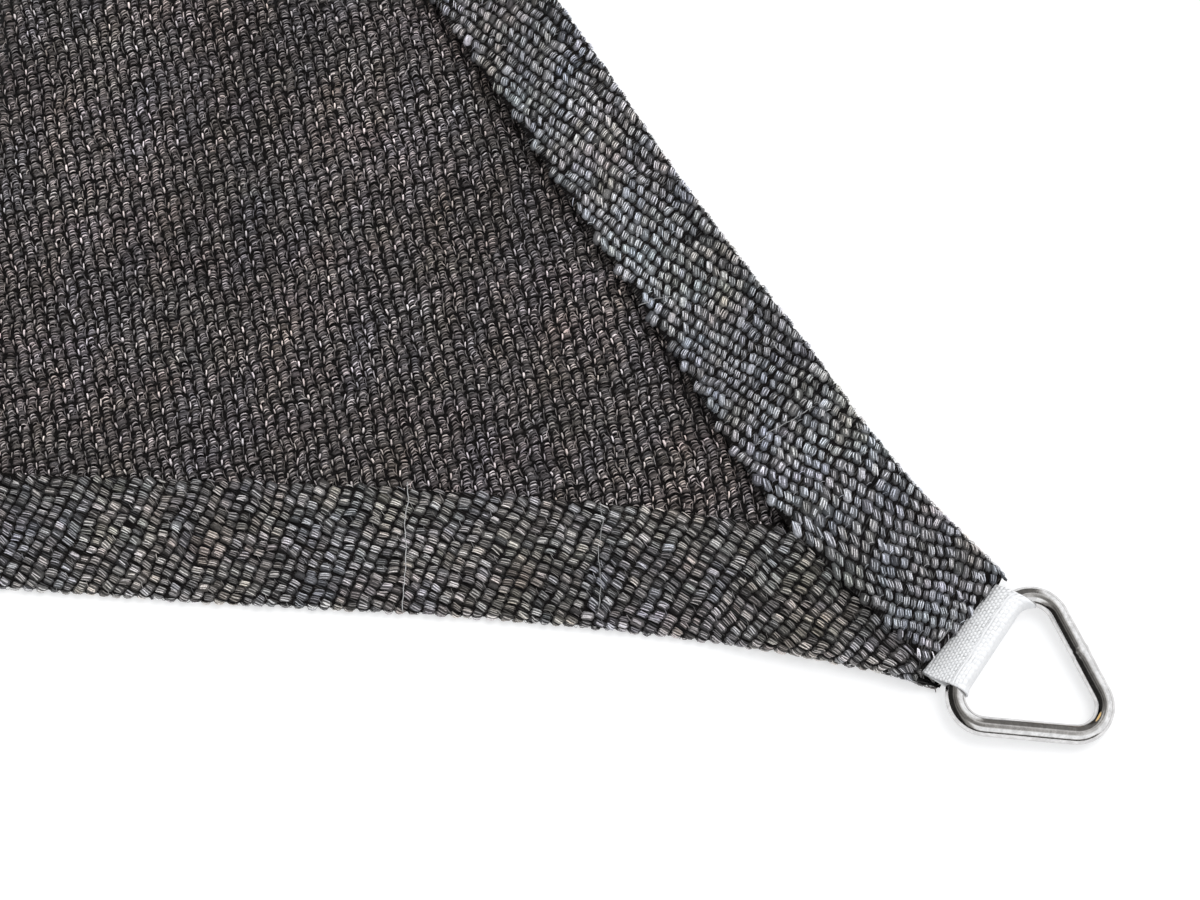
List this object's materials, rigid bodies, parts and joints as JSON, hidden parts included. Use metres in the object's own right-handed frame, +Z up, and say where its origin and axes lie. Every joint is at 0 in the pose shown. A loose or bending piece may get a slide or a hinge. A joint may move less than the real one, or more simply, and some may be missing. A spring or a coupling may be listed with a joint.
{
  "type": "shade sail",
  "caption": "Triangular knitted shade sail laid flat, with turned-over hems and a webbing loop holding a steel triangle ring at each corner.",
  "frame": {"origin": "middle of the whole sail's box, on the surface that it lies on", "axes": "+X along the front side, towards the right corner; +Y towards the back corner; +Z up from the surface"},
  "size_m": [3.0754, 2.669, 0.0086],
  "materials": {
    "knit": "knitted polyethylene tape yarn, charcoal, slight sheen",
    "webbing": "woven polyester webbing, white",
    "ring": "polished stainless steel wire"
  },
  "bodies": {
    "root": {"sail_cloth": "knit", "webbing_right": "webbing", "webbing_back": "webbing", "webbing_left": "webbing", "ring_right": "ring", "ring_back": "ring", "ring_left": "ring"}
  },
  "joints": []
}
